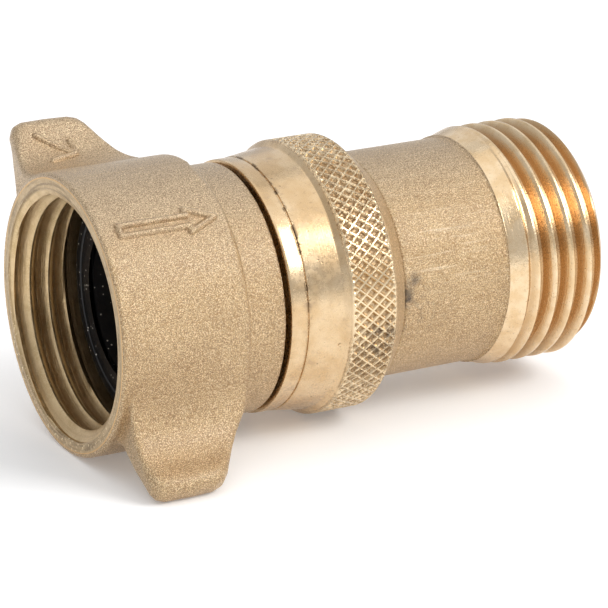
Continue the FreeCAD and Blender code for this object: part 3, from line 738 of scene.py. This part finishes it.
def polished_brass():
    """Turned and polished ring; the knurl's diamonds are darkened as painted shade and its ridges
    lightened as painted highlight.
    """
    f = Finish("polished_brass", 1.0, 0.3, 0.28)
    knurl = f.along.step(KNURL_FRONT - 0.35, KNURL_FRONT - 0.2)
    knurl = knurl * f.along.step(KNURL_REAR + 0.07, KNURL_REAR + 0.27, 1.0, 0.0)
    tone = f.noise(0.22, 3.0, 0.6).step(0.35, 0.65)
    colour = f.mix(tone, (0.64, 0.44, 0.235), (0.76, 0.57, 0.35))
    smudge = f.near(BAND_SMUDGE, 0.9, 0.8) * f.noise(1.4, 3.0, 0.7).step(0.35, 0.6)
    smear = f.noise(0.7, 4.0, 0.65, f.vector(f.along * 0.8, f.y, f.z)).step(0.55, 0.75)
    colour = f.mix(smear * 0.45 + smudge * 0.6, colour, (0.42, 0.30, 0.20))
    fleck = f.noise(1.9, 4.0, 0.75).step(0.58, 0.70) * (1 - knurl)
    colour = f.mix(fleck * 0.5, colour, (0.38, 0.26, 0.15))
    seam = f.along.between(SEAM - 0.2, SEAM + 0.25, 0.15) * f.noise(0.8, 4.0, 0.8).step(0.47, 0.57)
    seam = seam * f.z.step(-1.0, 5.0, 0.2, 1.0)
    colour = f.mix(seam * 0.85, colour, (0.16, 0.10, 0.05))
    pits = f.cells(0.85).step(0.05, 0.12, 1.0, 0.0) * f.noise(0.7).step(0.48, 0.58) * (1 - knurl)
    colour = f.mix(pits * 0.8, colour, (0.24, 0.155, 0.08))
    # painted highlight: the knurl's raised lines lightened
    ridge = knurl * f.out.step(KNURL_OUT - 0.14, KNURL_OUT - 0.05)
    colour = f.mix(ridge * 0.5, colour, (0.92, 0.77, 0.52))
    # painted shade: the knurl's sunk diamonds darkened
    sunk = knurl * f.out.step(KNURL_OUT - 0.30, KNURL_OUT - 0.10, 1.0, 0.0)
    colour = f.mix(sunk * 0.6, colour, (0.42, 0.27, 0.13))
    glint = f.noise(2.6, 2.0, 0.6).step(0.50, 0.64) * sunk
    colour = f.mix(glint * 0.6, colour, (0.80, 0.64, 0.42))
    # painted shade: the knurl darkened above and below the band that the key light catches; the bump
    # with it is wear
    wear_and_shade = knurl * (1 - f.z.between(-3.0, 6.0, 2.5)) * f.noise(2.2, 3.0, 0.7).step(0.45, 0.58)
    colour = f.mix(wear_and_shade * 0.45, colour, (0.40, 0.25, 0.12))
    soot = knurl * f.near(KNURL_SOOT, 2.0, 1.6) * f.noise(1.1, 3.0, 0.7).step(0.45, 0.6)
    colour = f.mix(soot * 0.75, colour, (0.14, 0.10, 0.07))
    dents = f.near(BAND_DENTS[0], 0.28, 0.16) + f.near(BAND_DENTS[1], 0.2, 0.12)
    slope = f.along.step(KNURL_REAR + 0.12, KNURL_REAR + 0.27)
    colour = f.mix(slope, colour, cast_colour(f))
    dull = f.noise(1.2, 4.0, 0.7).step(0.42, 0.64)
    rough = f.blend(knurl, smear * 0.08 + dull * 0.10 + 0.23, sunk * 0.2 + 0.26) + slope * 0.14
    height = turned_marks(f, 9.0, 0.005) + f.noise(2.2, 3.0, 0.6) * 0.010 - dents * 0.09
    height = height - pits * 0.03 - seam * 0.03 + wear_and_shade * 0.09
    height = height + slope * sand_grain(f) * 1.5 + sunk * f.noise(4.0) * 0.04
    return f.done(colour, rough, height)


def body_brass():
    """Cast barrel with lengthwise scratches and a stain; collar, thread and bores are turned bright."""
    f = Finish("body_brass", 1.0, 0.15, 0.3)
    cut = f.along.step(COLLAR_FRONT + 0.15, COLLAR_FRONT + 0.3)
    inside = f.out.step(11.2, 11.5, 1.0, 0.0)
    bright = f.math("MAXIMUM", cut, inside)
    streak = f.noise(1.0, 3.0, 0.6, f.vector(f.along * 0.12, f.turn * 34.0, f.out * 0.2))
    drawn = f.near(BODY_SCRATCHES, 3.0, 3.0) * 0.5 + 0.1
    cast = f.mix(streak.step(0.54, 0.68) * drawn, cast_colour(f), (0.93, 0.80, 0.58))
    stain = f.near(BODY_STAINS[0], 1.3, 0.8) + f.near(BODY_STAINS[1], 0.7, 0.7) * 0.7
    cloud = f.noise(1.3, 4.0, 0.65)
    faint = f.near(BODY_CLOUD, 3.2, 2.6) * cloud.step(0.5, 0.66) * 0.4
    stain = stain * cloud.step(0.32, 0.50) + faint
    cast = f.mix(stain * 0.85, cast, (0.10, 0.08, 0.065))
    tone = f.noise(0.5, 3.0, 0.6).step(0.35, 0.65)
    shine = f.mix(tone, (0.74, 0.53, 0.30), (0.84, 0.65, 0.42))
    # painted shade: the thread's grooves and the outlet bore darkened
    sunk = f.out.step(CREST_OUT - 0.8, CREST_OUT - 0.02, 1.0, 0.0)
    sunk = sunk * f.along.step(COLLAR_FRONT + 2.0, COLLAR_FRONT + 3.0)
    shine = f.mix(sunk * 0.9, shine, (0.53, 0.325, 0.155))
    speck = f.noise(2.4, 4.0, 0.75).step(0.57, 0.70)
    shine = f.mix(speck * 0.45, shine, (0.36, 0.22, 0.11))
    grain = sand_grain(f) * (1 - bright)
    nick = f.near(THREAD_NICK, 0.5, 0.25) * 0.15
    height = grain + bright * (turned_marks(f, 8.0, 0.022) + f.noise(2.6, 3.0, 0.6) * 0.022 - nick)
    rough = f.blend(bright, f.noise(6.0, 2.0, 0.6).step(0.3, 0.7, 0.44, 0.28), speck * 0.14 + 0.25)
    return f.done(f.mix(bright, cast, shine), rough, height)


def turned_brass():
    """Plain turned brass of the pieces inside."""
    f = Finish("machined_brass")
    colour = f.mix(f.noise(0.4, 3.0).step(0.35, 0.65), (0.60, 0.43, 0.20), (0.72, 0.53, 0.28))
    return f.done(colour, f.noise(1.2).step(0.3, 0.7, 0.26, 0.40), turned_marks(f, 8.0, 0.015))


def rubber(name, gloss, specks):
    """Black rubber with pale dust."""
    f = Finish(name, metallic=0.0)
    dust = f.cells(1.4).step(0.09, 0.17, 1.0, 0.0) * f.noise(0.5).step(0.40, 0.52) * specks
    haze = f.noise(0.35, 3.0, 0.6).step(0.4, 0.75)
    colour = f.mix(haze * 0.5, (0.008, 0.008, 0.009), (0.022, 0.021, 0.021))
    colour = f.mix(dust, colour, (0.75, 0.70, 0.62))
    rough = f.noise(1.6, 3.0).step(0.3, 0.7, gloss, gloss + 0.16)
    return f.done(colour, rough, f.noise(2.4, 3.0) * 0.03)


def acetal():
    """Smooth black plastic."""
    f = Finish("acetal", metallic=0.0)
    colour = f.mix(f.noise(0.5).step(0.35, 0.65), (0.014, 0.014, 0.015), (0.022, 0.022, 0.024))
    return f.done(colour, f.noise(1.5).step(0.3, 0.7, 0.30, 0.42), turned_marks(f, 5.0, 0.01))


def stainless():
    """Bright drawn or turned steel."""
    f = Finish("stainless")
    colour = f.mix(f.noise(0.6).step(0.35, 0.65), (0.50, 0.50, 0.49), (0.66, 0.66, 0.65))
    return f.done(colour, f.noise(1.5).step(0.3, 0.7, 0.22, 0.36), turned_marks(f, 10.0, 0.008))


# ---------------------------------------------------------------- floor, light and camera

def floor():
    """A plain pale floor that the part lies on."""
    mesh = bpy.data.meshes.new("floor")
    level = cad_floor()
    corners = [(-3, -3, level), (3, -3, level), (3, 6, level), (-3, 6, level)]
    mesh.from_pydata(corners, [], [(0, 1, 2, 3)])
    plane = bpy.data.objects.new("floor", mesh)
    bpy.context.scene.collection.objects.link(plane)
    material = bpy.data.materials.new("floor")
    material.use_nodes = True
    shader = material.node_tree.nodes["Principled BSDF"]
    shader.inputs["Base Color"].default_value = (0.94, 0.935, 0.925, 1)
    shader.inputs["Roughness"].default_value = 0.75
    shader.inputs["Emission Color"].default_value = (1.0, 1.0, 1.0, 1)
    shader.inputs["Emission Strength"].default_value = 0.17
    mesh.materials.append(material)


def cad_floor():
    """Height that the lowest CAD node reaches."""
    return min(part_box(node)[0].z for node in frame["nodes"])


def soft_light(name, turn, lift, distance, size, power, warmth=(1.0, 1.0, 1.0)):
    """An area light aimed at the part, by its compass turn from -Y towards +X and its lift."""
    turn, lift = math.radians(turn), math.radians(lift)
    away = Vector((math.sin(turn) * math.cos(lift), -math.cos(turn) * math.cos(lift), math.sin(lift)))
    light = bpy.data.lights.new(name, "AREA")
    light.shape = "RECTANGLE"
    light.size, light.size_y = size
    light.energy = power
    light.color = warmth
    lamp = bpy.data.objects.new(name, light)
    bpy.context.scene.collection.objects.link(lamp)
    lamp.location = Vector((0.03, 0, 0)) + away * distance
    lamp.rotation_euler = away.to_track_quat("Z", "Y").to_euler()


def studio():
    """A pale even surrounding with one small key light and two large soft ones."""
    scene = bpy.context.scene
    world = bpy.data.worlds.new("studio")
    scene.world = world
    world.use_nodes = True
    background = world.node_tree.nodes["Background"]
    background.inputs["Color"].default_value = (0.95, 0.965, 1.0, 1)
    background.inputs["Strength"].default_value = 0.62
    soft_light("key", 40, 39, 0.55, (0.28, 0.24), 1.65)
    soft_light("overhead", -10, 82, 0.7, (0.9, 0.9), 1.6)
    soft_light("back", 155, 35, 0.9, (1.2, 0.6), 0.7)
    scene.view_settings.view_transform = "Standard"
    scene.view_settings.look = "None"


def camera():
    """A long lens that looks down on the nut's side of the part."""
    data = bpy.data.cameras.new("camera")
    data.lens = 200.26
    data.sensor_width = 36
    data.clip_start = 0.02
    eye = bpy.data.objects.new("camera", data)
    bpy.context.scene.collection.objects.link(eye)
    ahead = Vector((0.453944, 0.829416, -0.325581)).normalized()
    right = Vector((0.877212, -0.480103, 0.0)).normalized()
    axes = Matrix((right, right.cross(ahead), -ahead)).transposed().to_4x4()
    place = Vector((-138.298, -305.605, 116.518)) * MM
    eye.matrix_world = Matrix.Translation(place) @ axes
    bpy.context.scene.camera = eye


def paint(finishes):
    """Each CAD node takes the finish of its material slot."""
    for row in frame["record"]["subparts"]:
        mesh = frame["nodes"][row["node"]].data
        mesh.materials.clear()
        mesh.materials.append(finishes[row["material_slot"]])


finishes = {
    "cast_brass": cast_brass(),
    "machined_brass": turned_brass(),
    "polished_brass": polished_brass(),
    "black_rubber": rubber("black_rubber", 0.34, 0.9),
    "nitrile": rubber("nitrile", 0.26, 0.2),
    "acetal": acetal(),
    "stainless": stainless(),
}
paint(finishes)
nut_casting(finishes["cast_brass"])
nut_lining(nut_machined())
washer(finishes["black_rubber"])
knurled_ring(finishes["polished_brass"])
body_casting(body_brass())
coil_spring(finishes["stainless"])
floor()
studio()
camera()
